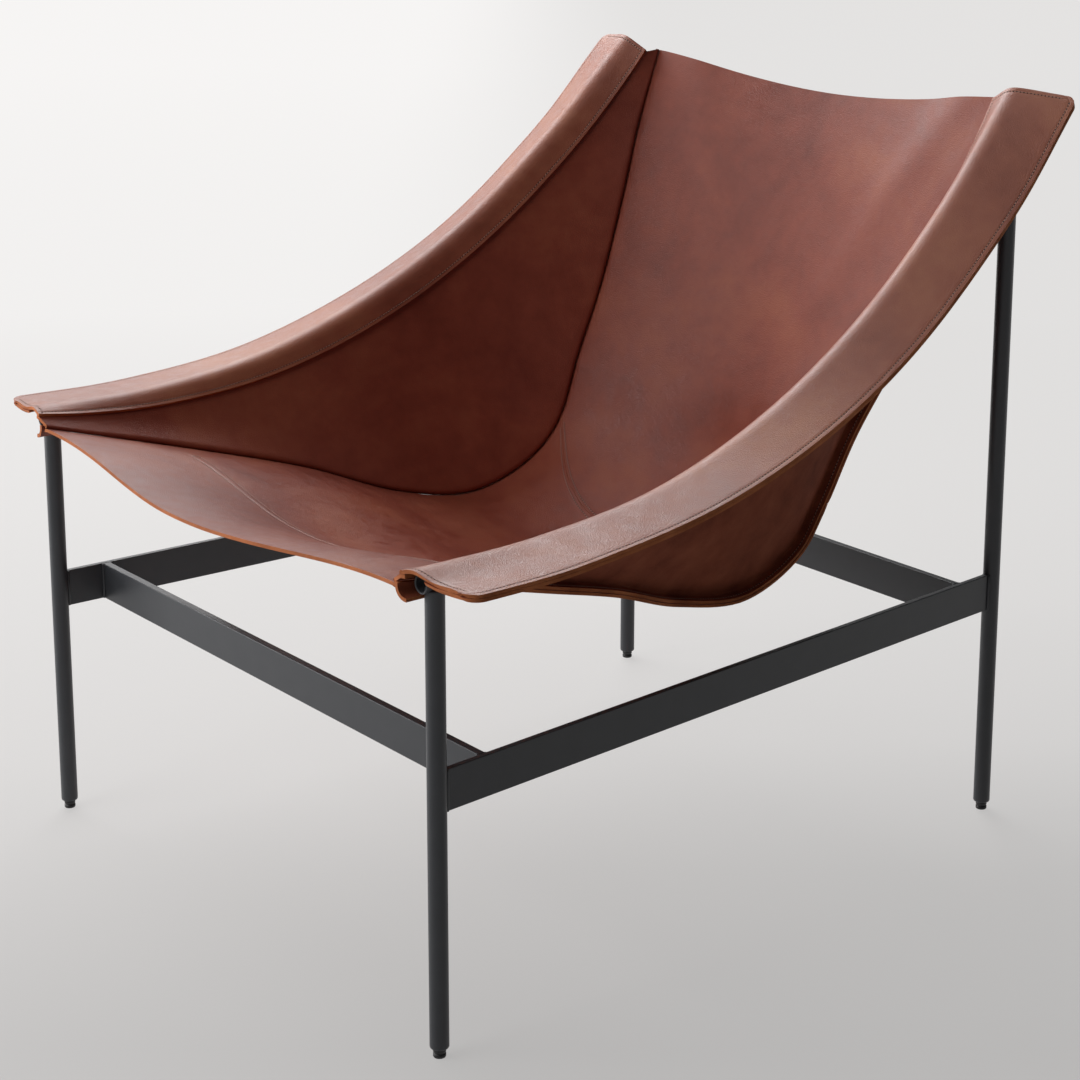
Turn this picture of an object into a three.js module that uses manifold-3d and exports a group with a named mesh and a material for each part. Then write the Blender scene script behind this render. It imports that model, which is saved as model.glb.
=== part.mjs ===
// Leather sling lounge chair on a welded steel frame.
// Millimetres, +Z up, the sitter faces -Y, origin on the floor under the middle of the overall box.

import * as THREE from 'three';
import { mergeVertices } from 'three/addons/utils/BufferGeometryUtils.js';
import Module from 'manifold-3d';

// Frame
const FRONT_TRACK = 686;
const REAR_TRACK = 598;
const LEG_PITCH = 784;
const LEG_DIAMETER = 18;
const LEG_CHAMFER = 1.2;
const RAIL_HEIGHT = 40;
const SIDE_RAIL_THICKNESS = 6;
const CROSS_RAIL_THICKNESS = 8;
const RAIL_BOTTOM = 235.5;
const FRONT_RAIL_INSET = 54.8;
const REAR_RAIL_INSET = 56;
const WELD_GAP = 0.3;

// Arm tube, whose axis runs from the front leg top to the rear leg top
const TUBE_DIAMETER = 18;
const ARM_FRONT_HEIGHT = 449.5;
const ARM_REAR_HEIGHT = 792;
const ARM_ROUTE = [
  // share of the leg pitch, share of the rise, outward of the line between the legs
  [-0.028, 0.001, -4],
  [0.153, 0, 1.7],
  [0.344, 0.053, 9.6],
  [0.527, 0.191, 13.2],
  [0.699, 0.401, 12.8],
  [0.856, 0.679, 10.7],
  [1.0045, 1.009, 5],
];
const TUBE_FRONT_RECESS = 12;
const TUBE_REAR_RECESS = 5;
const LEG_TOP_BELOW_AXIS = 5;

// Levelling glides
const GLIDE_DIAMETER = 12;
const GLIDE_HEIGHT = 9;
const GLIDE_GROOVE_DEPTH = 0.8;
const GLIDE_GROOVE_HEIGHT = 1.6;
const STUD_DIAMETER = 8;
const STUD_LENGTH = 20;
const STUD_CLEARANCE = 0.3;
const GLIDE_SEAT_GAP = 0.3;

// Leather
const HIDE = 3.5;
const PLY_GAP = 0.3;
const SLEEVE_CLEARANCE = 0.7;
const BAND_FRONT_REACH = 74;
const BAND_REACH = 63;
const BAND_REAR_REACH = 67;
const BAND_FRONT_EDGE_RISE = 9;
const BAND_REAR_EDGE_RISE = -5;
const BAND_TIP_EDGE_RISE = 0;
const BAND_SKEW = 0.13;
const BAND_CORNER_RADIUS = 10;
const BAND_FRONT_DROP = 14;
const BAND_REAR_DROP = 28;
const LINING_MERGE = 13;
const SLEEVE_SLACK_IN = 8;
const SLEEVE_SLACK_DOWN = 3;
const SEAM_FLANGE = 16;
const SEAM_FLANGE_DROOP = 3;
const SEAM_FLANGE_END = 4;
const LEG_HOLE_CLEARANCE = 1.2;
const LEG_SLOT_REACH = 18;

// Sling
const SEAT_LOW = 302;
const FRONT_SAG = 23;
const SEAT_SAG = 40;
const HOLLOW_SAG = 32;
const TOP_SAG = 34;
const TOP_FULLNESS = 1.4;
const FRONT_EDGE_BOW = 16;
const TOP_EDGE_DIP = 13;
const SEAM_ROUTE = [
  // share of the leg pitch, inward of the line between the legs, share of the rise to the arm end
  [-0.028, 32, 0.983],
  [0.203, 57, 0.637],
  [0.343, 71, 0.407],
  [0.48, 93, 0.122],
  [0.608, 95.7, 0],
  [0.711, 97.7, 0.055],
  [0.76, 100.6, 0.137],
  [0.807, 91.5, 0.29],
  [0.864, 77, 0.445],
  [0.927, 58, 0.657],
  [0.975, 43, 0.838],
  [1.024, 29, 0.994],
];
const SEAT_BACK_SHARE = 0.592;
const SEAT_BACK_DIP = 0.086;
const SEAT_BLEND_START = 0.3;
const STRAP_SHARE = 0.125;
const STRAP_WIDTH = 22;
const SEAM_STRIP_WIDTH = 24;
const STRIP_THICKNESS = 2.5;

// Facets
const ROUND_SIDES = 20;
const GLIDE_SIDES = 14;
const TUBE_SIDES = 14;
const TUBE_STEPS = 26;
const ARM_STATIONS = 23;
const PANEL_COLUMNS = 12;

const legRadius = LEG_DIAMETER / 2;
const tubeRadius = TUBE_DIAMETER / 2;
const frontY = -LEG_PITCH / 2;
const rearY = LEG_PITCH / 2;
const legBottom = GLIDE_HEIGHT + GLIDE_SEAT_GAP;

const wasm = await Module();
wasm.setup();

const steel = () => new THREE.MeshStandardMaterial({ color: 0x2b2c30, roughness: 0.45, metalness: 0.3 });
const nylon = () => new THREE.MeshStandardMaterial({ color: 0x151516, roughness: 0.5, metalness: 0 });
const hide = () => new THREE.MeshStandardMaterial({ color: 0x7a4638, roughness: 0.48, metalness: 0 });

const chair = new THREE.Group();
chair.name = 'leather_sling_lounge_chair';

function place(name, geometry, material) {
  const mesh = new THREE.Mesh(geometry, material);
  mesh.name = name;
  chair.add(mesh);
  return mesh;
}

// Turns any closed geometry into one with shared vertices and outward faces.
function closed(geometry) {
  const bare = new THREE.BufferGeometry();
  bare.setAttribute('position', geometry.getAttribute('position'));
  if (geometry.index) bare.setIndex(geometry.index);
  const merged = mergeVertices(bare, 1e-4);
  const index = merged.index.array;
  const p = merged.getAttribute('position');
  const kept = [];
  let volume = 0;
  const a = new THREE.Vector3();
  const b = new THREE.Vector3();
  const c = new THREE.Vector3();
  for (let k = 0; k < index.length; k += 3) {
    const [i, j, l] = [index[k], index[k + 1], index[k + 2]];
    if (i === j || j === l || l === i) continue;
    kept.push(i, j, l);
    a.fromBufferAttribute(p, i);
    b.fromBufferAttribute(p, j);
    c.fromBufferAttribute(p, l);
    volume += a.dot(b.cross(c)) / 6;
  }
  if (volume < 0) {
    for (let k = 0; k < kept.length; k += 3) {
      [kept[k + 1], kept[k + 2]] = [kept[k + 2], kept[k + 1]];
    }
  }
  merged.setIndex(kept);
  merged.computeVertexNormals();
  return merged;
}

function toSolid(geometry) {
  const g = closed(geometry);
  return new wasm.Manifold(new wasm.Mesh({
    numProp: 3,
    vertProperties: Float32Array.from(g.getAttribute('position').array),
    triVerts: Uint32Array.from(g.index.array),
  }));
}

function toGeometry(solid) {
  const mesh = solid.getMesh();
  const g = new THREE.BufferGeometry();
  g.setAttribute('position', new THREE.BufferAttribute(Float32Array.from(mesh.vertProperties), 3));
  g.setIndex(Array.from(mesh.triVerts));
  return closed(g);
}

function mirrored(geometry) {
  return closed(geometry.clone().scale(-1, 1, 1));
}

// A solid of revolution about Z from [radius, height] pairs that start and end on the axis.
function turned(profile, sides) {
  const points = profile.map(([r, z]) => new THREE.Vector2(r, z));
  return closed(new THREE.LatheGeometry(points, sides).rotateX(Math.PI / 2));
}

// A sheet of even thickness about a grid of points, or sunk below it, closed round its edge.
// The rows before and after the grid only turn its end faces, and a symmetric grid has its
// facets mirrored about the middle column.
function sheet(grid, thickness, { before = [], after = [], sunk = 0, symmetric = false } = {}) {
  const rows = [...before, ...grid, ...after];
  const first = before.length;
  const m = grid.length;
  const n = grid[0].length;
  const facing = [];
  const u = new THREE.Vector3();
  const v = new THREE.Vector3();
  for (let i = 0; i < rows.length - 1; i += 1) {
    facing.push([]);
    for (let j = 0; j < n - 1; j += 1) {
      u.subVectors(rows[i + 1][j + 1], rows[i][j]);
      v.subVectors(rows[i + 1][j], rows[i][j + 1]);
      facing[i].push(new THREE.Vector3().crossVectors(u, v).normalize());
    }
  }
  const upper = [];
  const lower = [];
  for (let i = first; i < first + m; i += 1) {
    for (let j = 0; j < n; j += 1) {
      const near = [];
      for (const k of [i - 1, i]) {
        for (const l of [j - 1, j]) {
          if (facing[k] && facing[k][l]) near.push(facing[k][l]);
        }
      }
      const normal = near.reduce((sum, f) => sum.add(f), new THREE.Vector3()).normalize();
      const spread = near.reduce((sum, f) => sum + f.dot(normal), 0) / near.length;
      normal.divideScalar(Math.max(spread, 0.6));
      upper.push(rows[i][j].clone().addScaledVector(normal, thickness / 2 - sunk));
      lower.push(rows[i][j].clone().addScaledVector(normal, -thickness / 2 - sunk));
    }
  }
  const at = (i, j, below) => i * n + j + (below ? m * n : 0);
  const index = [];
  const quad = (a, b, c, d) => index.push(a, b, c, a, c, d);
  for (let i = 0; i < m - 1; i += 1) {
    for (let j = 0; j < n - 1; j += 1) {
      const top = [at(i, j), at(i + 1, j), at(i + 1, j + 1), at(i, j + 1)];
      if (symmetric && 2 * j < n - 1) top.unshift(top.pop());
      quad(...top);
      const [a, b, c, d] = top.map((k) => k + m * n);
      quad(a, d, c, b);
    }
    quad(at(i, 0), at(i, 0, true), at(i + 1, 0, true), at(i + 1, 0));
    quad(at(i, n - 1), at(i + 1, n - 1), at(i + 1, n - 1, true), at(i, n - 1, true));
  }
  for (let j = 0; j < n - 1; j += 1) {
    quad(at(0, j), at(0, j + 1), at(0, j + 1, true), at(0, j, true));
    quad(at(m - 1, j), at(m - 1, j, true), at(m - 1, j + 1, true), at(m - 1, j + 1));
  }
  const g = new THREE.BufferGeometry().setFromPoints([...upper, ...lower]);
  g.setIndex(index);
  return closed(g);
}

const mix = THREE.MathUtils.lerp;
const legLine = (share) => mix(FRONT_TRACK, REAR_TRACK, share) / 2;
const alongY = (share) => mix(frontY, rearY, share);

const armCurve = new THREE.CatmullRomCurve3(ARM_ROUTE.map(([share, rise, out]) => new THREE.Vector3(
  legLine(share) + out,
  alongY(share),
  mix(ARM_FRONT_HEIGHT, ARM_REAR_HEIGHT, rise),
)));
armCurve.arcLengthDivisions = 800;
const armLength = armCurve.getLength();

const lowest = SEAM_ROUTE.findIndex((row) => row[2] === 0);
const seamCurve = new THREE.CatmullRomCurve3(SEAM_ROUTE.map(([share, inset, rise], k) => new THREE.Vector3(
  legLine(share) - inset,
  alongY(share),
  mix(SEAT_LOW, k < lowest ? ARM_FRONT_HEIGHT : ARM_REAR_HEIGHT, rise),
)));
seamCurve.arcLengthDivisions = 800;
const seamLength = seamCurve.getLength();

// Frame across the arm tube at a share of its length: outward and upward directions.
function armFrame(s) {
  const origin = armCurve.getPointAt(s);
  const along = armCurve.getTangentAt(s);
  const out = new THREE.Vector3(along.y, -along.x, 0).normalize();
  const up = new THREE.Vector3().crossVectors(out, along);
  const across = out.clone().addScaledVector(along, BAND_SKEW);
  const point = (b, n) => origin.clone().addScaledVector(across, b).addScaledVector(up, n);
  return { origin, along, out, up, point };
}

// Frame of the seam between side panel and sling: the panel's face and the way it sags.
function seamFrame(q) {
  const origin = seamCurve.getPointAt(q);
  const along = seamCurve.getTangentAt(q);
  along.x = 0;
  along.normalize();
  const face = new THREE.Vector3(0, -along.z, along.y);
  return { origin, along, face };
}

// Arm sleeve in section: the band lies over the tube, the lining under it.
const sleeveRadius = tubeRadius + SLEEVE_CLEARANCE + HIDE / 2;
const ply = HIDE + PLY_GAP;

function armSection(s) {
  const frame = armFrame(s);
  const target = seamFrame(s).origin.clone().sub(frame.origin);
  const lean = Math.atan2(-target.dot(frame.up), -target.dot(frame.out));
  const fromEnd = Math.min(s, 1 - s) * armLength;
  const corner = Math.max(0, BAND_CORNER_RADIUS - fromEnd);
  const cut = BAND_CORNER_RADIUS - Math.sqrt(BAND_CORNER_RADIUS ** 2 - corner ** 2);
  const widen = 1 - THREE.MathUtils.smoothstep(s, 0, 0.33);
  const flare = THREE.MathUtils.smoothstep(s, 0.7, 1);
  const reach = mix(mix(BAND_REACH, BAND_FRONT_REACH, widen), BAND_REAR_REACH, flare);
  const settle = THREE.MathUtils.smoothstep(s, 0.15, 0.75);
  const lift = THREE.MathUtils.smoothstep(s, 0.85, 1);
  const edge = mix(mix(BAND_FRONT_EDGE_RISE, BAND_REAR_EDGE_RISE, settle), BAND_TIP_EDGE_RISE, lift);
  const rise = edge - HIDE / 2;
  const drop = mix(BAND_FRONT_DROP, BAND_REAR_DROP, s);
  const edgeAngle = Math.atan2(rise, reach);
  const touch = edgeAngle + Math.acos(sleeveRadius / Math.hypot(reach, rise));
  const [tb, tn] = onSleeve(touch);
  const full = Math.hypot(reach - tb, rise - tn);
  const e = [(reach - tb) / full, (rise - tn) / full];
  const onFlange = (share, below) => {
    const run = (full - cut) * share;
    return [tb + e[0] * run + e[1] * below, tn + e[1] * run - e[0] * below];
  };
  return { frame, lean, drop, touch, onFlange, flat: full - cut };
}

// The side panel tucks between the drop and the tube: its outer face, and where it can start.
const panelFace = sleeveRadius - ply - HIDE / 2;
const tuckStart = Math.sqrt((tubeRadius + SLEEVE_CLEARANCE) ** 2 - panelFace ** 2);

const onSleeve = (angle) => [sleeveRadius * Math.cos(angle), sleeveRadius * Math.sin(angle)];

// Point beside the inner drop of the band: d down the drop, k outward from its middle layer.
function besideDrop(lean, d, k) {
  const b = -(sleeveRadius - k) * Math.sin(lean) - d * Math.cos(lean);
  const n = (sleeveRadius - k) * Math.cos(lean) - d * Math.sin(lean);
  return [b, n];
}

function bandRow(s) {
  const { frame, lean, drop, touch, onFlange, flat } = armSection(s);
  const row = [onFlange(1, 0), onFlange(LINING_MERGE / flat, 0)];
  const end = Math.PI / 2 + lean;
  for (let k = 0; k <= 4; k += 1) row.push(onSleeve(mix(touch, end, k / 4)));
  row.push(besideDrop(lean, tuckStart, 0), besideDrop(lean, drop, 0));
  return row.map(([b, n]) => frame.point(b, n));
}

// The lining runs under the tube and hangs slack inside it, in a loop that ends at the side panel.
const slackTurn = Math.atan2(-SLEEVE_SLACK_IN, SLEEVE_SLACK_DOWN);

function onLoop(angle) {
  const [b, n] = onSleeve(angle);
  return [b - SLEEVE_SLACK_IN, n - SLEEVE_SLACK_DOWN];
}

// Angle at which the loop meets a straight run of the side panel's middle layer.
function loopEnd([b0, n0], [b1, n1]) {
  const run = Math.hypot(b1 - b0, n1 - n0);
  const across = [(n1 - n0) / run, (b0 - b1) / run];
  const apart = across[0] * (b0 + SLEEVE_SLACK_IN) + across[1] * (n0 + SLEEVE_SLACK_DOWN);
  const turn = Math.acos(Math.min(1, (apart - ply + HIDE / 2) / (sleeveRadius + HIDE / 2)));
  return Math.atan2(across[1], across[0]) + turn - 2 * Math.PI;
}

// Foot of the side panel, on the seam with the sling.
function panelFoot(q) {
  const { origin, face } = seamFrame(q);
  const foot = origin.clone().addScaledVector(face, PLY_GAP + HIDE / 2);
  foot.x += HIDE / 2;
  return foot;
}

function liningRow(s) {
  const { frame, lean, drop, onFlange, flat } = armSection(s);
  const fork = onFlange(LINING_MERGE / flat, ply);
  const leave = Math.atan2(fork[1], fork[0]) - Math.acos(sleeveRadius / Math.hypot(...fork));
  const rel = panelFoot(s).sub(frame.origin);
  const bend = besideDrop(lean, drop, ply);
  const end = Math.max(
    loopEnd(besideDrop(lean, 0, ply), bend),
    loopEnd(bend, [rel.dot(frame.out), rel.dot(frame.up)]),
  );
  const row = [onFlange(1, ply), fork];
  for (let k = 0; k <= 2; k += 1) row.push(onSleeve(mix(leave, slackTurn, k / 2)));
  for (let k = 0; k <= 5; k += 1) row.push(onLoop(mix(slackTurn, end, k / 5)));
  return row.map(([b, n]) => frame.point(b, n));
}

// Stations along the arm and the seam, with more at the band's corners and the seat-to-back seam.
const stripHalf = SEAM_STRIP_WIDTH / 2 / seamLength;
const strapHalf = STRAP_WIDTH / 2 / seamLength;
const corners = [0, 0.3, 1].map((t) => t * BAND_CORNER_RADIUS / armLength);
const strapShares = [-strapHalf, 0, strapHalf].map((d) => STRAP_SHARE + d);
const splitShares = [-stripHalf, 0, stripHalf].map((d) => SEAT_BACK_SHARE + d);
const stations = [...corners, ...corners.map((t) => 1 - t), ...strapShares, ...splitShares];
for (let k = 1; k < ARM_STATIONS; k += 1) {
  const share = k / ARM_STATIONS;
  if (stations.every((t) => Math.abs(t - share) > 0.3 / ARM_STATIONS)) stations.push(share);
}
stations.sort((a, b) => a - b);

// Seam flange, tapered towards both ends of the seam.
function flangeWidth(q) {
  const swell = THREE.MathUtils.smoothstep(Math.min(q, 1 - q), 0, 0.22);
  return mix(SEAM_FLANGE_END, SEAM_FLANGE, swell);
}

const flangeDroop = (q) => SEAM_FLANGE_DROOP * flangeWidth(q) / SEAM_FLANGE;

// Side panel: tucked behind the band's drop, down to the seam, turned outward as the upper flange.
function sidePanelRow(q) {
  const { frame, lean, drop } = armSection(q);
  const { origin, face } = seamFrame(q);
  const foot = panelFoot(q);
  const row = [tuckStart, drop].map((d) => frame.point(...besideDrop(lean, d, ply)));
  const top = row[1];
  for (let k = 1; k < 5; k += 1) row.push(top.clone().lerp(foot, k / 5));
  row.push(foot);
  const rim = origin.clone().addScaledVector(face, PLY_GAP + HIDE / 2 - flangeDroop(q));
  rim.x += flangeWidth(q);
  row.push(rim);
  return row;
}

// Sling surface: q runs along the seam from the front edge to the top, v from seam to seam.
function sag(q) {
  const hollow = SEAT_BACK_SHARE;
  const front = mix(FRONT_SAG, SEAT_SAG, THREE.MathUtils.smoothstep(q, 0, 0.2));
  const seat = mix(front, HOLLOW_SAG, THREE.MathUtils.smoothstep(q, 0.3, hollow));
  return mix(seat, TOP_SAG, THREE.MathUtils.smoothstep(q, hollow, 1));
}

// Share of the sag across the sling: a soft hollow in the seat, drawn rounder towards the top of the back.
function bowl(q, v) {
  const hollow = (1 + Math.cos(Math.PI * v)) / 2;
  return mix(hollow, (1 - v * v) ** TOP_FULLNESS, THREE.MathUtils.smoothstep(q, SEAT_BACK_SHARE, 1));
}

function slingPoint(q, v, shift) {
  const { origin, along, face } = seamFrame(q);
  const dip = bowl(q, v);
  const point = new THREE.Vector3(v * origin.x, origin.y, origin.z);
  point.addScaledVector(face, -HIDE / 2 - sag(q) * dip);
  return point.addScaledVector(along, shift * dip);
}

// Outer edge of the sling's own flange, under the side panel's.
function rimPoint(q, side) {
  const { origin, face } = seamFrame(q);
  const point = origin.clone().addScaledVector(face, -HIDE / 2 - flangeDroop(q));
  point.x = side * (point.x + flangeWidth(q));
  return point;
}

const columns = [];
for (let k = 0; k <= PANEL_COLUMNS; k += 1) columns.push(2 * k / PANEL_COLUMNS - 1);

function slingRow(share, shift) {
  const row = columns.map((v) => slingPoint(share(v), v, shift));
  return [rimPoint(share(1), -1), ...row, rimPoint(share(1), 1)];
}

const splitAt = (v) => SEAT_BACK_SHARE - SEAT_BACK_DIP * (1 - Math.abs(v) ** 3);

// Rows keep their stations at the seam and bend with the seat-to-back seam in the middle.
function bentShare(q) {
  return (v) => {
    const dip = SEAT_BACK_SHARE - splitAt(v);
    if (q <= SEAT_BACK_SHARE) return q - dip * THREE.MathUtils.smoothstep(q, SEAT_BLEND_START, SEAT_BACK_SHARE);
    return q - dip * (1 - THREE.MathUtils.smoothstep(q, SEAT_BACK_SHARE, 1));
  };
}

// Legs
const glideBore = STUD_DIAMETER / 2 + STUD_CLEARANCE;

function legSolid(height) {
  return turned([
    [0, legBottom + STUD_LENGTH],
    [glideBore, legBottom + STUD_LENGTH],
    [glideBore, legBottom],
    [legRadius - LEG_CHAMFER, legBottom],
    [legRadius, legBottom + LEG_CHAMFER],
    [legRadius, height],
    [0, height],
  ], ROUND_SIDES);
}

function roundBar(radius, curve, sides, steps) {
  const shape = new THREE.Shape();
  shape.absarc(0, 0, radius, 0, 2 * Math.PI, false);
  return closed(new THREE.ExtrudeGeometry(shape, {
    extrudePath: curve,
    steps,
    curveSegments: sides / 2,
    bevelEnabled: false,
  }));
}

// The stretch of the arm curve that the tube fills, short of both mouths of the sleeve.
class TubeCurve extends THREE.Curve {
  getPoint(t, target = new THREE.Vector3()) {
    const s = mix(TUBE_FRONT_RECESS / armLength, 1 - TUBE_REAR_RECESS / armLength, t);
    return target.copy(armCurve.getPointAt(s));
  }
}
const tube = roundBar(tubeRadius, new TubeCurve(), TUBE_SIDES, TUBE_STEPS);
const saddle = toSolid(roundBar(tubeRadius + WELD_GAP, armCurve, TUBE_SIDES, TUBE_STEPS * 2));

const legs = [
  ['front', FRONT_TRACK / 2, frontY, ARM_FRONT_HEIGHT],
  ['rear', REAR_TRACK / 2, rearY, ARM_REAR_HEIGHT],
];

for (const [end, x, y, height] of legs) {
  const blank = legSolid(height - LEG_TOP_BELOW_AXIS).translate(x, y, 0);
  const coped = toGeometry(toSolid(blank).subtract(saddle));
  place(`${end}_leg_right`, coped, steel());
  place(`${end}_leg_left`, mirrored(coped), steel());
}

// Rails: flat bar on edge
const slope = Math.atan2((FRONT_TRACK - REAR_TRACK) / 2, LEG_PITCH);
const sideRun = Math.hypot((FRONT_TRACK - REAR_TRACK) / 2, LEG_PITCH) - LEG_DIAMETER - 2 * WELD_GAP;
const railMiddle = RAIL_BOTTOM + RAIL_HEIGHT / 2;
const sideRail = new THREE.BoxGeometry(SIDE_RAIL_THICKNESS, sideRun, RAIL_HEIGHT)
  .rotateZ(slope)
  .translate((FRONT_TRACK + REAR_TRACK) / 4, 0, railMiddle);
place('side_rail_right', closed(sideRail), steel());
place('side_rail_left', mirrored(sideRail), steel());

function crossRail(y) {
  const rearFace = (y + CROSS_RAIL_THICKNESS / 2 - frontY) / LEG_PITCH;
  const half = legLine(rearFace) - SIDE_RAIL_THICKNESS / 2 / Math.cos(slope) - WELD_GAP;
  return closed(new THREE.BoxGeometry(2 * half, CROSS_RAIL_THICKNESS, RAIL_HEIGHT).translate(0, y, railMiddle));
}
place('front_cross_rail', crossRail(frontY + FRONT_RAIL_INSET), steel());
place('rear_cross_rail', crossRail(rearY - REAR_RAIL_INSET), steel());

place('arm_tube_right', tube, steel());
place('arm_tube_left', mirrored(tube), steel());

// Glides: a grooved pad with its stud up the leg
const padRadius = GLIDE_DIAMETER / 2;
const grooveMiddle = GLIDE_HEIGHT / 2;
const glide = turned([
  [0, 0],
  [padRadius - GLIDE_GROOVE_DEPTH, 0],
  [padRadius, GLIDE_GROOVE_DEPTH],
  [padRadius, grooveMiddle - GLIDE_GROOVE_HEIGHT / 2],
  [padRadius - GLIDE_GROOVE_DEPTH, grooveMiddle],
  [padRadius, grooveMiddle + GLIDE_GROOVE_HEIGHT / 2],
  [padRadius, GLIDE_HEIGHT],
  [STUD_DIAMETER / 2, GLIDE_HEIGHT],
  [STUD_DIAMETER / 2, GLIDE_HEIGHT + STUD_LENGTH - STUD_CLEARANCE],
  [0, GLIDE_HEIGHT + STUD_LENGTH - STUD_CLEARANCE],
], GLIDE_SIDES);
for (const [end, x, y] of legs) {
  place(`${end}_glide_right`, glide.clone().translate(x, y, 0), nylon());
  place(`${end}_glide_left`, glide.clone().translate(-x, y, 0), nylon());
}

// Leather sleeve and side panels, pierced where the legs pass through
const holeRadius = legRadius + LEG_HOLE_CLEARANCE;
const holes = legs.map(([, x, y, height]) => toSolid(
  new THREE.CylinderGeometry(holeRadius, holeRadius, height, ROUND_SIDES)
    .rotateX(Math.PI / 2)
    .translate(x, y, height / 2 - LEG_TOP_BELOW_AXIS + LEG_HOLE_CLEARANCE),
));

// The front hole is open to the mouth, so that the sleeve slides on over the tube.
const slotRun = 2 * FRONT_RAIL_INSET;
const slot = toSolid(new THREE.BoxGeometry(holeRadius + LEG_SLOT_REACH, slotRun, ARM_FRONT_HEIGHT).translate(
  FRONT_TRACK / 2 + (LEG_SLOT_REACH - holeRadius) / 2,
  frontY - slotRun / 2,
  ARM_FRONT_HEIGHT / 2,
));
const pierced = holes.reduce((all, hole) => all.add(hole), slot);

const band = sheet(stations.map(bandRow), HIDE);
place('arm_band_right', band, hide());
place('arm_band_left', mirrored(band), hide());

const lining = toGeometry(toSolid(sheet(stations.map(liningRow), HIDE)).subtract(pierced));
place('band_lining_right', lining, hide());
place('band_lining_left', mirrored(lining), hide());

const sidePanel = toGeometry(toSolid(sheet(stations.map(sidePanelRow), HIDE)).subtract(pierced));
place('side_panel_right', sidePanel, hide());
place('side_panel_left', mirrored(sidePanel), hide());

// Seat and back meet edge to edge over a strip sewn behind them
function panelRow(q) {
  const shift = q === 0 ? -FRONT_EDGE_BOW : q === 1 ? -TOP_EDGE_DIP : 0;
  return slingRow(bentShare(q), shift);
}
const rowAt = (share) => stations.indexOf(share);
const split = rowAt(SEAT_BACK_SHARE);
const rows = stations.map(panelRow);
const seatRows = rows.slice(0, split + 1);
const backRows = [panelRow(SEAT_BACK_SHARE + PLY_GAP / seamLength), ...rows.slice(split + 1)];
place('seat_panel', sheet(seatRows, HIDE, { after: [rows[split + 1]], symmetric: true }), hide());
place('back_panel', sheet(backRows, HIDE, { before: [rows[split - 1]], symmetric: true }), hide());

// Strips under the sling, clear of the seam flanges
const stripDepth = HIDE / 2 + PLY_GAP + STRIP_THICKNESS / 2;

function strip(shares) {
  const inner = (row) => row.slice(2, -2);
  const [from, to] = [rowAt(shares[0]), rowAt(shares[2])];
  return sheet(rows.slice(from, to + 1).map(inner), STRIP_THICKNESS, {
    before: [inner(rows[from - 1])],
    after: [inner(rows[to + 1])],
    sunk: stripDepth,
    symmetric: true,
  });
}

place('seat_strap', strip(strapShares), hide());
place('seam_strip', strip(splitShares), hide());

// Origin on the floor under the middle of the overall box
const box = new THREE.Box3().setFromObject(chair);
const middle = box.getCenter(new THREE.Vector3());
for (const mesh of chair.children) mesh.geometry.translate(-middle.x, -middle.y, -box.min.z);

export default chair;
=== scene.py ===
# Leather sling lounge chair: a sewn saddle-leather sling hung from two arm sleeves on a welded steel frame.
# Metres, +Z up, the sitter faces -Y. Left and right are as seen from in front, left is -X.

import bisect
import math
from functools import lru_cache

import bmesh
import bpy
from mathutils import Matrix, Vector, noise


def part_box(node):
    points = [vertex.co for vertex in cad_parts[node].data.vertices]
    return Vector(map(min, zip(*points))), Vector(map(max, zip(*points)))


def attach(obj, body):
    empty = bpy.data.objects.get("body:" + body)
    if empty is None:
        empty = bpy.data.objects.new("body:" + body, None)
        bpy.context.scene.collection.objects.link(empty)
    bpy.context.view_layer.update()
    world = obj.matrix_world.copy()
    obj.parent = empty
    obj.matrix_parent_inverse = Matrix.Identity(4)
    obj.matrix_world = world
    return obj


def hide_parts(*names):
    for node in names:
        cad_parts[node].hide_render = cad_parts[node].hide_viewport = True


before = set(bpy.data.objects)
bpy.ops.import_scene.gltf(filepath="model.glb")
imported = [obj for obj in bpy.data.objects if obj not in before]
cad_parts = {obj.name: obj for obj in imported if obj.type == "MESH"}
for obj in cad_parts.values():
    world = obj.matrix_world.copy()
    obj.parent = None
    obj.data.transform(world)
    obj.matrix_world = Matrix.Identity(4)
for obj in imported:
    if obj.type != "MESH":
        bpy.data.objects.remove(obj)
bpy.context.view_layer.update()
scene = bpy.context.scene

# Studio
# A pale floor that runs back into a pale room, lit by large softboxes from the front and the left. The floor also
# glows with painted light, dim at the front and brighter towards the back and the left.
# The camera stands at the right front corner, a little above the back of the chair.
scene.view_settings.view_transform = "Standard"

eye = bpy.data.cameras.new("eye")
eye.sensor_width = 36
eye.lens = 81.2
eye.shift_y = -0.2
camera = bpy.data.objects.new("eye", eye)
camera.location = (1.9395, -1.576, 1.1457)
camera.rotation_euler = (math.radians(76.721), 0, math.radians(50.897))
scene.collection.objects.link(camera)
scene.camera = camera


def softbox(name, place, target, width, height, watts):
    lamp = bpy.data.lights.new(name, "AREA")
    lamp.shape = "RECTANGLE"
    lamp.size = width
    lamp.size_y = height
    lamp.energy = watts
    holder = bpy.data.objects.new(name, lamp)
    holder.location = place
    holder.rotation_euler = (Vector(target) - Vector(place)).to_track_quat("-Z", "Y").to_euler()
    holder.visible_camera = False
    scene.collection.objects.link(holder)


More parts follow.
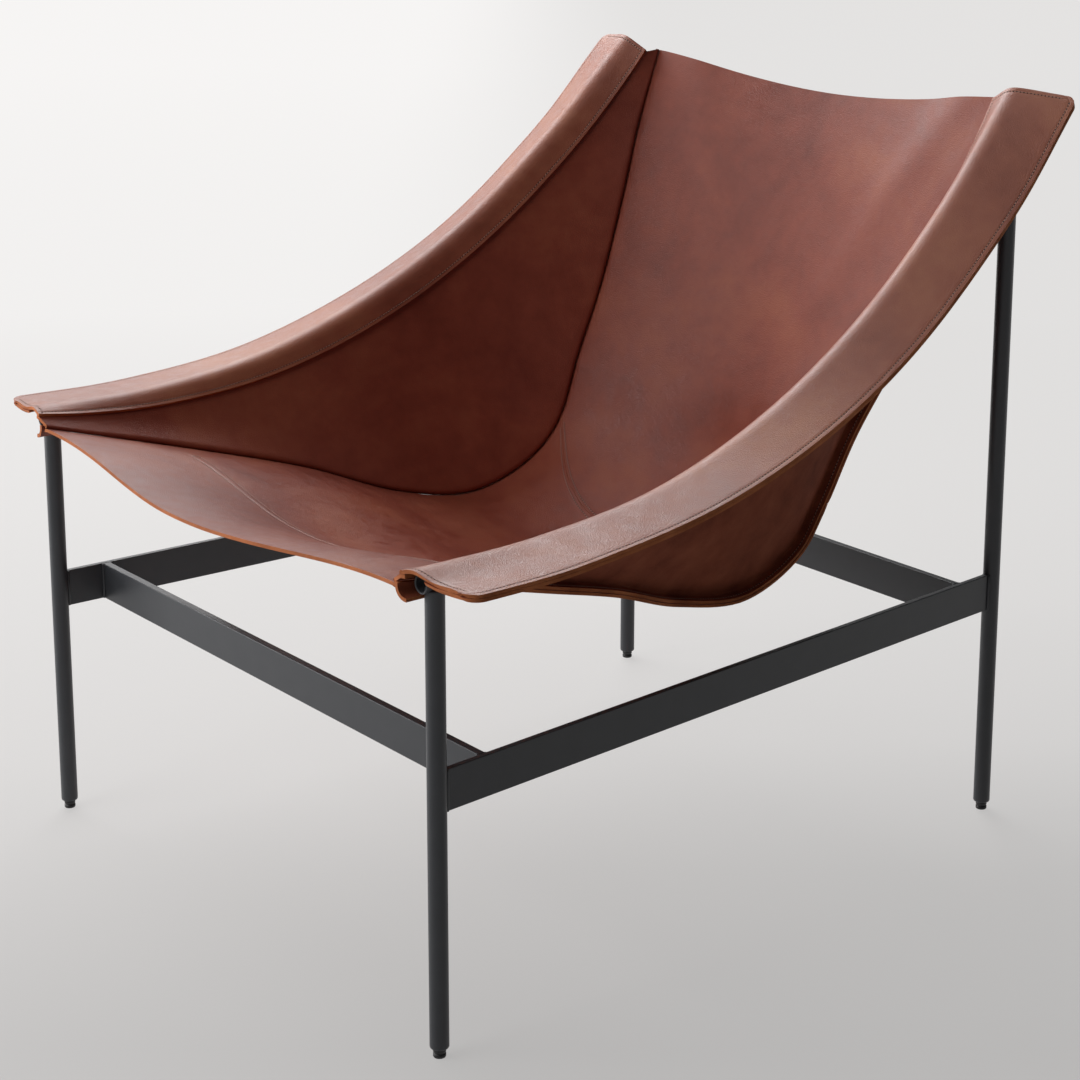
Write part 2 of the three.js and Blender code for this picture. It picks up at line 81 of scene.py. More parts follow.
softbox("front_top", (-0.75, -2.75, 2.1), (0, 0, 0.45), 2.0, 1.4, 44)
softbox("front_left", (-2.4, -1.9, 0.5), (0, -0.2, 0.4), 1.6, 0.8, 42)
softbox("overhead", (-0.1, -0.5, 3.2), (0, 0, 0.4), 1.2, 1.2, 7)
softbox("left", (-2.2, 0.6, 2.4), (0, 0, 0.5), 3.0, 2.2, 100)
softbox("backdrop", (-3.2, 1.2, 0.55), (0, 0, 0.55), 6.0, 1.1, 20)
softbox("fill", (2.2, -2.4, 1.6), (0, 0, 0.4), 1.6, 1.6, 2)


def new_material(name):
    made = bpy.data.materials.new(name)
    made.use_nodes = True
    tree = made.node_tree
    return made, tree, tree.nodes["Principled BSDF"]


def add_node(tree, kind, **values):
    made = tree.nodes.new(kind)
    for key, value in values.items():
        if key in made.inputs:
            made.inputs[key].default_value = value
        else:
            setattr(made, key, value)
    return made


def map_range(tree, low, high, to_low=0, to_high=1, **values):
    ends = {"From Min": low, "From Max": high, "To Min": to_low, "To Max": to_high}
    return add_node(tree, "ShaderNodeMapRange", **values, **ends)


def wire(tree, *joins):
    """Links nodes: each join is a node and its output, then a node and its input."""
    for source, out, target, into in joins:
        tree.links.new(source.outputs[out], target.inputs[into])


sky = bpy.data.worlds.new("studio")
scene.world = sky
sky.use_nodes = True
room_as_light, room_as_seen = 0.05, 0.86
ambient = sky.node_tree.nodes["Background"]
ambient.inputs["Color"].default_value = (0.98, 0.985, 1, 1)
sky_seen = add_node(sky.node_tree, "ShaderNodeLightPath")
sky_level = map_range(sky.node_tree, 0, 1, room_as_light, room_as_seen)
wire(
    sky.node_tree,
    (sky_seen, "Is Camera Ray", sky_level, "Value"),
    (sky_level, "Result", ambient, "Strength"),
)

mix_a, mix_b, mix_out = 6, 7, 2  # colour sockets of a Mix node
# Painted light: the floor glows to the camera and in reflections, dim at the front and brighter towards the back
# and the left. Near the chair a quarter of it stays lit shading.
paper, paper_tree, paper_shader = new_material("pale_floor")
paper_shader.inputs["Base Color"].default_value = (0.62, 0.605, 0.595, 1)
paper_shader.inputs["Roughness"].default_value = 0.75
paper_shader.inputs["Specular IOR Level"].default_value = 0.2
paper_place = add_node(paper_tree, "ShaderNodeTexCoord")
sweep_back, sweep_across = (-0.776, 0.631, 0), (0.631, 0.776, 0)
paper_depth = add_node(paper_tree, "ShaderNodeVectorMath", operation="DOT_PRODUCT")
paper_depth.inputs[1].default_value = sweep_back
paper_fade = map_range(paper_tree, -0.5, 6.5)
paper_across = add_node(paper_tree, "ShaderNodeVectorMath", operation="DOT_PRODUCT")
paper_across.inputs[1].default_value = sweep_across
paper_side = map_range(paper_tree, -0.55, 0.55, interpolation_type="SMOOTHSTEP")
painted_glow_sides = add_node(paper_tree, "ShaderNodeMix", data_type="RGBA")


def painted_glow_levels(levels):
    """Painted light on the floor: its glow from the front of the stage to the back, as (place, level) pairs."""
    ramp = add_node(paper_tree, "ShaderNodeValToRGB")
    stops = ramp.color_ramp.elements
    while len(stops) < len(levels):
        stops.new(0.5)
    for stop, (position, level) in zip(stops, levels):
        stop.position = position
        stop.color = (level, level * 0.985, level * 0.975, 1)
    return ramp


# Levels of painted glow on the left and the right of the floor.
paper_left = painted_glow_levels(((0, 0.57), (0.05, 0.65), (0.09, 0.72), (0.2, 0.775), (0.42, 0.885), (1, 0.925)))
paper_right = painted_glow_levels(((0, 0.57), (0.05, 0.62), (0.1, 0.74), (0.17, 0.785), (0.4, 0.755), (1, 0.775)))
paper_seen = add_node(paper_tree, "ShaderNodeLightPath")
paper_glow = map_range(paper_tree, 0.9, 2.6, 0.75)
paper_away = add_node(paper_tree, "ShaderNodeVectorMath", operation="LENGTH")
paper_mirror = add_node(paper_tree, "ShaderNodeMath", operation="MAXIMUM")
paper_share = add_node(paper_tree, "ShaderNodeMath", operation="MULTIPLY")
painted_floor_glow = add_node(paper_tree, "ShaderNodeEmission")
paper_mix = add_node(paper_tree, "ShaderNodeMixShader")
wire(
    paper_tree,
    (paper_place, "Object", paper_depth, 0),
    (paper_place, "Object", paper_across, 0),
    (paper_place, "Object", paper_away, 0),
    (paper_depth, "Value", paper_fade, "Value"),
    (paper_across, "Value", paper_side, "Value"),
    (paper_fade, "Result", paper_left, "Fac"),
    (paper_fade, "Result", paper_right, "Fac"),
    (paper_side, "Result", painted_glow_sides, 0),
    (paper_left, "Color", painted_glow_sides, mix_a),
    (paper_right, "Color", painted_glow_sides, mix_b),
    (paper_away, "Value", paper_glow, "Value"),
    (painted_glow_sides, mix_out, painted_floor_glow, "Color"),
    (paper_seen, "Is Camera Ray", paper_mirror, 0),
    (paper_seen, "Is Glossy Ray", paper_mirror, 1),
    (paper_mirror, "Value", paper_share, 0),
    (paper_glow, "Result", paper_share, 1),
    (paper_share, "Value", paper_mix, "Fac"),
    (paper_shader, "BSDF", paper_mix, 1),
    (painted_floor_glow, "Emission", paper_mix, 2),
    (paper_mix, "Shader", paper_tree.nodes["Material Output"], "Surface"),
)

floor_shape = bmesh.new()
floor_half = 30
bmesh.ops.create_grid(floor_shape, x_segments=1, y_segments=1, size=floor_half)
floor_mesh = bpy.data.meshes.new("floor")
floor_shape.to_mesh(floor_mesh)
floor_shape.free()
floor_mesh.materials.append(paper)
floor = bpy.data.objects.new("floor", floor_mesh)
scene.collection.objects.link(floor)

# Legs
# Round steel bar, 18 mm, with a chamfered foot bored for the glide's stud.
# Each runs straight up into the arm sleeve, where it is welded to the arm tube.
leg_radius = 0.009
leg_foot = 0.0093  # height of the bar's end above the floor
foot_chamfer, broken_edge = 0.0014, 0.0004
stud_hole, stud_hole_depth = 0.0043, 0.0205


def two_tone(name, dark, light, scale, rough, relief, depth, peel=None, shine=0.5):
    """A finish that wanders between two tones, with a fine relief from the same noise or from a finer peel."""
    made, tree, shader = new_material(name)
    place = add_node(tree, "ShaderNodeTexCoord")
    patch = add_node(tree, "ShaderNodeTexNoise", Scale=scale, Detail=3, Roughness=0.6)
    tint = add_node(tree, "ShaderNodeMix", data_type="RGBA")
    tint.inputs[mix_a].default_value = (*dark, 1)
    tint.inputs[mix_b].default_value = (*light, 1)
    skin = patch
    if peel:
        skin = add_node(tree, "ShaderNodeTexNoise", Scale=peel, Detail=2, Roughness=0.5)
        wire(tree, (place, "Object", skin, "Vector"))
    bump = add_node(tree, "ShaderNodeBump", Strength=relief, Distance=depth)
    wire(
        tree,
        (place, "Object", patch, "Vector"),
        (patch, "Fac", tint, 0),
        (tint, mix_out, shader, "Base Color"),
        (skin, "Fac", bump, "Height"),
        (bump, "Normal", shader, "Normal"),
    )
    shader.inputs["Roughness"].default_value = rough
    shader.inputs["Specular IOR Level"].default_value = shine
    return made


coat = two_tone(
    "charcoal_powder_coat", (0.038, 0.0405, 0.046), (0.05, 0.053, 0.059),
    scale=38, rough=0.38, relief=0.12, depth=0.0002, peel=1500, shine=0.4,
)


def add_piece(name, shape, materials, body, nodes=(), smooth=True):
    mesh = bpy.data.meshes.new(name)
    shape.to_mesh(mesh)
    shape.free()
    for material in materials:
        mesh.materials.append(material)
    mesh.polygons.foreach_set("use_smooth", [smooth] * len(mesh.polygons))
    piece = bpy.data.objects.new(name, mesh)
    scene.collection.objects.link(piece)
    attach(piece, body)
    if nodes:
        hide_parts(*nodes)
    return piece


def turned(profile, place, steps=48):
    """A turned shape about Z from (radius, height) pairs, stood at place."""
    shape = bmesh.new()
    spine = [shape.verts.new((r, 0, z)) for r, z in profile]
    edges = [shape.edges.new(pair) for pair in zip(spine, spine[1:])]
    bmesh.ops.spin(
        shape, geom=[*spine, *edges], cent=(0, 0, 0), axis=(0, 0, 1),
        angle=2 * math.pi, steps=steps, use_merge=True, use_duplicate=False,
    )
    bmesh.ops.remove_doubles(shape, verts=shape.verts, dist=1e-6)
    bmesh.ops.recalc_face_normals(shape, faces=shape.faces)
    bmesh.ops.translate(shape, verts=shape.verts, vec=place)
    return shape


foot_places = {}
for end in ("front", "rear"):
    for side in ("left", "right"):
        low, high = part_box(f"{end}_leg_{side}")
        spot = ((low[0] + high[0]) / 2, (low[1] + high[1]) / 2, 0)
        foot_places[end, side] = Vector(spot)
        top = high[2]
        leg = turned(
            [
                (0, leg_foot + stud_hole_depth),
                (stud_hole, leg_foot + stud_hole_depth),
                (stud_hole, leg_foot + broken_edge),
                (stud_hole + broken_edge, leg_foot),
                (leg_radius - foot_chamfer, leg_foot),
                (leg_radius - 0.0005, leg_foot + broken_edge),
                (leg_radius, leg_foot + foot_chamfer),
                (leg_radius, leg_foot + 0.003),
                (leg_radius, top - 0.002),
                (leg_radius, top),
                (0, top),
            ],
            spot,
        )
        add_piece(f"{end}_leg_{side}", leg, [coat], "chair", [f"{end}_leg_{side}"])

# Rails
# Flat steel bar on edge, 40 mm high, welded between the legs at the sides and across behind them.
# The edges are broken before coating, and a fillet of weld fills each upright corner.
rail_low, rail_high = 0.2355, 0.2755
rail_middle = (rail_low + rail_high) / 2
side_bar = 0.006
bar_edge = 0.0008
weld_gap = 0.0003
bead_radius = 0.0016
bead_off_bar, bead_off_leg = 0.0004, 0.0002


def flat_bar(length_x, length_y, turn, place):
    bar = bmesh.new()
    bmesh.ops.create_cube(bar, size=1, matrix=Matrix.Diagonal((length_x, length_y, rail_high - rail_low, 1)))
    bmesh.ops.bevel(
        bar, geom=bar.edges[:], offset=bar_edge, segments=3, profile=0.5, affect="EDGES", material=-1,
    )
    bmesh.ops.transform(bar, verts=bar.verts, matrix=Matrix.Translation(place) @ Matrix.Rotation(turn, 4, "Z"))
    return bar


def weld_fillet(shape, x, y):
    """A bead of weld up an inside corner of the rail."""
    made = bmesh.ops.create_cone(
        shape, cap_ends=True, segments=10, radius1=bead_radius, radius2=bead_radius,
        depth=rail_high - rail_low - 2 * weld_gap,
        matrix=Matrix.Translation((x, y, rail_middle)),
    )
    touching = dict.fromkeys(e for v in made["verts"] for e in v.link_edges)
    caps = [e for e in touching if abs(e.verts[0].co.z - e.verts[1].co.z) < 1e-6]
    bmesh.ops.bevel(
        shape, geom=caps, offset=bead_radius / 2, segments=2, profile=0.5, affect="EDGES", material=-1,
    )


welds = bmesh.new()
for side in ("left", "right"):
    front = foot_places["front", side]
    rear = foot_places["rear", side]
    run = rear - front
    turn = math.atan2(-run.x, run.y)
    middle = (front + rear) / 2
    bar = flat_bar(side_bar, run.length - 2 * (leg_radius + weld_gap), turn, (middle.x, middle.y, rail_middle))
    add_piece(f"side_rail_{side}", bar, [coat], "chair", [f"side_rail_{side}"], smooth=False)
    way = run.normalized()
    aside = Vector((way.y, -way.x, 0))
    for leg, sense in ((front, 1), (rear, -1)):
        for face in (-1, 1):
            corner = leg + way * (sense * (leg_radius + bead_off_leg))
            corner += aside * (face * (side_bar / 2 + bead_off_bar))
            weld_fillet(welds, corner.x, corner.y)
for name in ("front_cross_rail", "rear_cross_rail"):
    low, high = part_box(name)
    middle = (Vector(low) + Vector(high)) / 2
    bar = flat_bar(high[0] - low[0], high[1] - low[1], 0, middle)
    add_piece(name, bar, [coat], "chair", [name], smooth=False)
    for x in (low[0] + bead_off_bar, high[0] - bead_off_bar):
        for y in (low[1] - bead_off_bar, high[1] + bead_off_bar):
            weld_fillet(welds, x, y)
add_piece("rail_welds", welds, [coat], "chair")

# Levelling glides
# Turned black nylon pads on an 8 mm stud, with a finger groove round the pad.
# The stud screws up into the leg, so that each pad can be let out by a few millimetres.
nylon = two_tone(
    "black_nylon", (0.008, 0.008, 0.009), (0.02, 0.02, 0.021), scale=420, rough=0.5, relief=0.1, depth=0.0002,
)
for (end, side), spot in foot_places.items():
    pad = turned(
        [
            (0, 0),
            (0.0048, 0),
            (0.0056, 0.0003),
            (0.006, 0.001),
            (0.006, 0.0034),
            (0.0057, 0.0037),
            (0.0052, 0.0042),
            (0.0052, 0.0048),
            (0.0057, 0.0053),
            (0.006, 0.0056),
            (0.006, 0.0084),
            (0.0056, 0.009),
            (0.004, 0.009),
            (0.004, 0.0284),
            (0.0036, 0.0287),
            (0, 0.0287),
        ],
        spot,
    )
    add_piece(f"{end}_glide_{side}", pad, [nylon], f"{end}_glide_{side}", [f"{end}_glide_{side}"])

# Arm tubes
# Round tube, 18 mm, bent in one long curve from the top of the front leg to the top of the rear leg.
# The leather arm sleeves slide on over it, so only its ends show, inside the mouths of the sleeves.
front_half, rear_half, leg_pitch = 0.343, 0.299, 0.784  # legs from the middle plane, and front to rear
front_y = foot_places["front", "right"].y
arm_front_height, arm_rear_height = 0.4495, 0.792
arm_route = (
    # share of the leg pitch, share of the rise, outward of the line between the legs
    (-0.028, 0.001, -0.004),
    (0.153, 0, 0.0017),
    (0.344, 0.053, 0.0096),
    (0.527, 0.191, 0.0132),
    (0.699, 0.401, 0.0128),
    (0.856, 0.679, 0.0107),
    (1.0045, 1.009, 0.005),
)


def mix(a, b, share):
    return a + (b - a) * share


def ease(x, low, high):
    t = min(1, max(0, (x - low) / (high - low)))
    return t * t * (3 - 2 * t)


def leg_line(share):
    return mix(front_half, rear_half, share)


def curve_through(knots):
    """A smooth curve through the knots, as a function of the share of its length, and that length."""
    p = [Vector(k) for k in knots]
    p = [2 * p[0] - p[1], *p, 2 * p[-1] - p[-2]]
    steps = 60
    fine = []
    for a, b, c, d in zip(p, p[1:], p[2:], p[3:]):
        u, v, w = ((e - s).length ** 0.5 for s, e in ((a, b), (b, c), (c, d)))
        leave = ((b - a) / u - (c - a) / (u + v) + (c - b) / v) * v
        arrive = ((c - b) / v - (d - b) / (v + w) + (d - c) / w) * v
        for k in range(steps):
            t = k / steps
            fine.append(
                b + leave * t + (3 * (c - b) - 2 * leave - arrive) * t**2 + (2 * (b - c) + leave + arrive) * t**3
            )
    fine.append(p[-2])
    run = [0.0]
    for a, b in zip(fine, fine[1:]):
        run.append(run[-1] + (b - a).length)

    def at(share):
        want = share * run[-1]
        k = min(max(bisect.bisect_right(run, want) - 1, 0), len(fine) - 2)
        return fine[k].lerp(fine[k + 1], (want - run[k]) / (run[k + 1] - run[k]))

    return at, run[-1]


arm_at, arm_length = curve_through(
    (leg_line(share) + out, front_y + share * leg_pitch, mix(arm_front_height, arm_rear_height, rise))
    for share, rise, out in arm_route
)
nearby = 0.002  # share of a length over which its direction is read
band_skew = 0.13


class ArmFrame:
    """Directions across the right arm tube at a share of its length."""

    def __init__(self, s):
        self.origin = arm_at(s)
        self.along = (arm_at(s + nearby) - arm_at(s - nearby)).normalized()
        self.out = Vector((self.along.y, -self.along.x, 0)).normalized()
        self.up = self.out.cross(self.along)
        self.across = self.out + self.along * band_skew

    def point(self, b, n):
        return self.origin + self.across * b + self.up * n


def shaped_grid(columns, rows, place):
    """A grid with each corner put where place(u, v) says, u and v from 0 to 1."""
    shape = bmesh.new()
    bmesh.ops.create_grid(shape, x_segments=columns, y_segments=rows, size=0.5)
    for v in shape.verts:
        v.co = place(v.co.x + 0.5, v.co.y + 0.5)
    return shape


def mirror_shape(shape):
    """Turns a right-hand shape into the left-hand one."""
    bmesh.ops.scale(shape, vec=(-1, 1, 1), verts=shape.verts)
    bmesh.ops.reverse_faces(shape, faces=shape.faces)


tube_start = 0.009
tube_bore, bore_depth = leg_radius - 0.0018, 0.013
tube_sides, tube_bends = 28, 64
tube_mouth = (
    # way in from the tube's end, radius
    (bore_depth, 0),
    (bore_depth, tube_bore),
    (0.002, tube_bore),
    (broken_edge, tube_bore),
    (0, tube_bore + broken_edge),
    (0, leg_radius - broken_edge),
    (broken_edge, leg_radius),
    (0.002, leg_radius),
)
tube_rows = [((tube_start + inset) / arm_length, radius) for inset, radius in tube_mouth]
tube_rows += [(k / tube_bends, leg_radius) for k in range(1, tube_bends)]
tube_rows += [(1 - (tube_start + inset) / arm_length, radius) for inset, radius in reversed(tube_mouth)]


def tube_point(u, v):
    share, radius = tube_rows[round(v * (len(tube_rows) - 1))]
    here = ArmFrame(share)
    turn = 2 * math.pi * u
    return here.origin + (here.out * math.cos(turn) + here.up * math.sin(turn)) * radius


for side in ("left", "right"):
    tube = shaped_grid(tube_sides, len(tube_rows) - 1, tube_point)
    bmesh.ops.remove_doubles(tube, verts=tube.verts, dist=1e-6)
    bmesh.ops.recalc_face_normals(tube, faces=tube.faces)
    if side == "left":
        mirror_shape(tube)
    add_piece(f"arm_tube_{side}", tube, [coat], "chair", [f"arm_tube_{side}"])

# Seat panel
# One hide of 3.5 mm vegetable-tanned saddle leather, red-brown and oiled, cut with raw edges.
# It hangs in a bowl between the side seams, with its front edge left free and a narrow flange at each side.
hide = 0.0035
ply_gap = 0.0003
ply = hide + ply_gap
gloss_spread = 0.09  # either way


def scaled_sum(tree, factor):
    made = add_node(tree, "ShaderNodeMath", operation="MULTIPLY_ADD")
    made.inputs[1].default_value = factor
    return made


def leather_finish(name, tones, gloss, shine):
    """Grain side of the hide: cloudy tones, darker pores and creases, a waxed sheen that varies in patches."""
    made, tree, shader = new_material(name)
    place = add_node(tree, "ShaderNodeTexCoord")
    cloud = add_node(tree, "ShaderNodeTexNoise", Scale=5.5, Detail=4, Roughness=0.58, Distortion=0.6)
    mottle = add_node(tree, "ShaderNodeTexNoise", Scale=48, Detail=5, Roughness=0.62)
    both = scaled_sum(tree, 0.35)
    ramp = add_node(tree, "ShaderNodeValToRGB")
    stops = ramp.color_ramp.elements
    stops[0].position, stops[1].position = 0.38, 0.96
    stops.new(0.67)
    for stop, colour in zip(stops, tones):
        stop.color = (*colour, 1)
    pores = add_node(tree, "ShaderNodeTexVoronoi", Scale=1150, feature="F1")
    pebble = add_node(tree, "ShaderNodeTexVoronoi", Scale=520, feature="DISTANCE_TO_EDGE")
    pebble_size = map_range(tree, 0, 0.25)
    wrinkle = add_node(tree, "ShaderNodeTexNoise", Scale=130, Detail=6, Roughness=0.65)
    grain = scaled_sum(tree, 0.45)
    relief = scaled_sum(tree, 0.3)
    bump = add_node(tree, "ShaderNodeBump", Strength=0.42, Distance=0.0006)
    polish = map_range(tree, 0.3, 0.7, gloss - gloss_spread, gloss + gloss_spread)
    wire(
        tree,
        *((place, "Object", texture, "Vector") for texture in (cloud, mottle, pores, pebble, wrinkle)),
        (mottle, "Fac", both, 0),
        (cloud, "Fac", both, 2),
        (both, "Value", ramp, "Fac"),
        (ramp, "Color", shader, "Base Color"),
        (pebble, "Distance", pebble_size, "Value"),
        (pebble_size, "Result", grain, 0),
        (wrinkle, "Fac", grain, 2),
        (pores, "Distance", relief, 0),
        (grain, "Value", relief, 2),
        (relief, "Value", bump, "Height"),
        (bump, "Normal", shader, "Normal"),
        (mottle, "Fac", polish, "Value"),
        (polish, "Result", shader, "Roughness"),
    )
    shader.inputs["Specular IOR Level"].default_value = shine
    return made


def fibre_finish(name, deep, light, scale, rough):
    """Cut edge or flesh side of the hide, where the loose fibres show."""
    made, tree, shader = new_material(name)
    place = add_node(tree, "ShaderNodeTexCoord")
    fibre = add_node(tree, "ShaderNodeTexNoise", Scale=scale, Detail=6, Roughness=0.7, Distortion=0.8)
    patch = add_node(tree, "ShaderNodeTexNoise", Scale=22, Detail=3, Roughness=0.6)
    both = scaled_sum(tree, 0.5)
    spread = map_range(tree, 0.5, 1)
    tint = add_node(tree, "ShaderNodeMix", data_type="RGBA")
    tint.inputs[mix_a].default_value = (*deep, 1)
    tint.inputs[mix_b].default_value = (*light, 1)
    bump = add_node(tree, "ShaderNodeBump", Strength=0.5, Distance=0.0006)
    wire(
        tree,
        (place, "Object", fibre, "Vector"),
        (place, "Object", patch, "Vector"),
        (fibre, "Fac", both, 0),
        (patch, "Fac", both, 2),
        (both, "Value", spread, "Value"),
        (spread, "Result", tint, 0),
        (tint, mix_out, shader, "Base Color"),
        (fibre, "Fac", bump, "Height"),
        (bump, "Normal", shader, "Normal"),
    )
    shader.inputs["Roughness"].default_value = rough
    shader.inputs["Specular IOR Level"].default_value = 0.12
    return made


sling_dye = ((0.15, 0.03, 0.018), (0.23, 0.0525, 0.0305), (0.31, 0.0875, 0.045))
grain_side = leather_finish("saddle_leather_grain", sling_dye, 0.39, 0.32)
flesh_side = fibre_finish("saddle_leather_flesh", (0.18, 0.042, 0.021), (0.34, 0.098, 0.05), 620, 0.85)
raw_edge = fibre_finish("saddle_leather_cut_edge", (0.29, 0.085, 0.03), (0.56, 0.19, 0.075), 900, 0.75)
leather = [grain_side, flesh_side, raw_edge]

seam_route = (
    # share of the leg pitch, inward of the line between the legs, share of the rise from the low of the seat
    (-0.028, 0.032, 0.983),
    (0.203, 0.057, 0.637),
    (0.343, 0.071, 0.407),
    (0.48, 0.093, 0.122),
    (0.608, 0.0957, 0),
    (0.711, 0.0977, 0.055),
    (0.76, 0.1006, 0.137),
    (0.807, 0.0915, 0.29),
    (0.864, 0.077, 0.445),
    (0.927, 0.058, 0.657),
    (0.975, 0.043, 0.838),
    (1.024, 0.029, 0.994),
)
seat_low = 0.302
front_knots = 4  # knots that rise to the front of the arm, the others rise to its rear
seam_at, seam_length = curve_through(
    (
        leg_line(share) - inset,
        front_y + share * leg_pitch,
        mix(seat_low, arm_front_height if k < front_knots else arm_rear_height, rise),
    )
    for k, (share, inset, rise) in enumerate(seam_route)
)


@lru_cache(maxsize=None)
def seam_frame(q):
    """Point on the right side seam, the way along it and the way its sling faces."""
    along = seam_at(q + nearby) - seam_at(q - nearby)
    along.x = 0
    along.normalize()
    return seam_at(q), along, Vector((0, -along.z, along.y))


split_share, split_dip = 0.592, 0.086  # the seat-to-back seam at the sides, and how far its middle dips
blend_start = 0.3
front_sag, seat_sag, hollow_sag, top_sag = 0.023, 0.04, 0.032, 0.034
front_bow, top_dip = 0.016, 0.013
flange_end, flange, flange_droop = 0.004, 0.016, 0.003


def sag(q):
    front = mix(front_sag, seat_sag, ease(q, 0, 0.2))
    seat = mix(front, hollow_sag, ease(q, blend_start, split_share))
    return mix(seat, top_sag, ease(q, split_share, 1))


def bowl(q, v):
    """Share of the sag across the sling: a soft hollow in the seat, rounder towards the top of the back."""
    v = min(1, abs(v))
    hollow = (1 + math.cos(math.pi * v)) / 2
    return mix(hollow, (1 - v * v) ** 1.4, ease(q, split_share, 1))


def flange_width(q):
    return mix(flange_end, flange, ease(min(q, 1 - q), 0, 0.22))


def slack(p, fade):
    """Soft unevenness of a hide that hangs under its own weight."""
    slow = noise.noise(Vector((p.x * 4.2, p.y * 4.2, p.z * 4.2)))
    quick = noise.noise(Vector((p.x * 15 + 7, p.y * 15, p.z * 15)))
    return fade * (0.0022 * slow + 0.0005 * quick)


strap_share = 0.1235
strap_reach = 0.82
strap_row, seam_row = 0.005, 0.004  # rows of stitches from the strap's middle and the seat-to-back seam
groove_depth, groove_width = 0.0003, 0.001
strap_swell, strap_swell_width = 0.0006, 0.0055
seam_swell, seam_swell_width = 0.0007, 0.0062
fold_right, fold_left = 0.0042, 0.003
lip_reach, lip_lift = 0.22, 0.04


def split_at(v):
    return split_share - split_dip * (1 - min(1, abs(v)) ** 3)


def groove(away):
    """Dip of the hide under a row of stitches that lies this far away."""
    return groove_depth * math.exp(-((away / groove_width) ** 2))


def sewn_relief(q, v):
    """Height of the sling around its rows of stitches, drawn in along the rows and full between them."""
    from_strap = (q - strap_share) * seam_length
    full = strap_swell * math.exp(-((from_strap / strap_swell_width) ** 4))
    full -= groove(abs(from_strap) - strap_row)
    full *= 1 - ease(abs(v), strap_reach - 0.01, strap_reach + 0.02)
    from_seam = abs(q - split_at(v)) * seam_length
    return full + seam_swell * math.exp(-((from_seam / seam_swell_width) ** 4)) - groove(from_seam - seam_row)


def pull(q, v):
    """Soft folds that run down from the top corners of the back, where the sleeves hold it."""
    across = abs(v) - 0.78 + (1 - q) * 1.75
    strength = fold_right if v > 0 else fold_left
    return strength * math.exp(-((across / 0.13) ** 2)) * ease(q, 0.66, 0.86)


def lip(q, v):
    """The stiff front margin of the seat, which stays flatter than the hollow behind it."""
    back = min(1, q / lip_reach)
    return lip_lift * back * (1 - back) ** 2 * (1 - min(1, abs(v)) ** 4)


def sling_point(q, v):
    """Middle layer of the sling: q along the seam from the front edge to the top, v from seam to seam."""
    origin, along, face = seam_frame(q)
    dip = bowl(q, v)
    p = Vector((max(-1, min(1, v)) * origin.x, origin.y, origin.z)) - face * (hide / 2 + sag(q) * dip)
    end = front_bow * max(0, 1 - q / 0.05) ** 2 + top_dip * max(0, 1 - (1 - q) / 0.05) ** 2
    p -= along * (end * dip)
    p += face * (slack(p, dip) + pull(q, v) + lip(q, v) + sewn_relief(q, v))
    beyond = max(0, abs(v) - 1)
    if beyond:
        width = flange_width(q)
        p.x += math.copysign(beyond * width, v)
        p -= face * (flange_droop * width / flange * beyond)
    return p


def bent_share(q, v):
    """Rows follow the curve of the seat-to-back seam near it and straighten away from it."""
    dip = split_share - split_at(v)
    if q <= split_share:
        return q - dip * ease(q, blend_start, split_share)
    return q - dip * (1 - ease(q, split_share, 1))


def pick(values, share):
    """The value at a share of the way along a list."""
    k = min(int(share * (len(values) - 1) + 1e-6), len(values) - 2)
    return mix(values[k], values[k + 1], share * (len(values) - 1) - k)


def laid_out(columns, rows, place):
    """A grid with a corner for each row and column, put where place(row, column) says."""
    return shaped_grid(len(columns) - 1, len(rows) - 1, lambda u, v: place(pick(rows, v), pick(columns, u)))


def sling_place(q, v):
    return sling_point(bent_share(q, v), v)


sling_columns = [-2, -1.7, -1.35, *(k / 28 for k in range(-28, 29)), 1.35, 1.7, 2]
worn_width = 0.0003


def finish_sheet(piece, thickness, even=True):
    """Gives a leather sheet its thickness, a flesh side, cut edges and slightly worn corners."""
    wall = piece.modifiers.new("thickness", "SOLIDIFY")
    wall.thickness = thickness
    wall.offset = 0
    wall.use_even_offset = even
    wall.material_offset = 1
    wall.material_offset_rim = 2
    worn = piece.modifiers.new("worn_edge", "BEVEL")
    worn.width = worn_width
    worn.segments = 2
    worn.limit_method = "ANGLE"
    worn.angle_limit = math.radians(55)
    worn.harden_normals = True


def sheet_area(shape):
    return sum(f.calc_area() for f in shape.faces)


by_seam = (0, 0.0012, 0.0025, 0.0035, 0.0045, 0.0055, 0.0065, 0.0075, 0.0085, 0.0095, 0.0112, 0.014)
by_seam = [d / seam_length for d in by_seam]
by_strap = (0, 0.0018, 0.0032, 0.0041, 0.005, 0.0059, 0.0068, 0.0085, 0.0115)
by_strap = [d / seam_length for d in by_strap]
seat_rows = [0, 0.0012, 0.003, 0.006, *(k / 60 * split_share for k in range(1, 59))]
seat_rows = [q for q in seat_rows if abs(q - strap_share) > by_strap[-1] and q < split_share - by_seam[-1]]
seat_rows += [strap_share + d for d in by_strap] + [strap_share - d for d in by_strap[1:]]
seat_rows = sorted(seat_rows + [split_share - d for d in by_seam])
seat_shape = laid_out(sling_columns, seat_rows, sling_place)
seat_area = sheet_area(seat_shape)
seat = add_piece("seat_panel", seat_shape, leather, "chair", ["seat_panel"])
finish_sheet(seat, hide)

# Back panel
# A second hide of the same leather, sewn edge to edge to the seat and hung between the side seams.
# Its top edge is left raw and dips between the arms.
seam_gap = ply_gap / seam_length
back_rows = [split_share + seam_gap, *(split_share + d for d in by_seam[1:])]
back_rows += [q for q in (mix(split_share, 1, k / 46) for k in range(1, 46)) if q > back_rows[-1] + 0.002]
back_rows += [0.994, 0.9975, 1]
back_shape = laid_out(sling_columns, back_rows, sling_place)
back_area = sheet_area(back_shape)
back = add_piece("back_panel", back_shape, leather, "chair", ["back_panel"])
finish_sheet(back, hide)

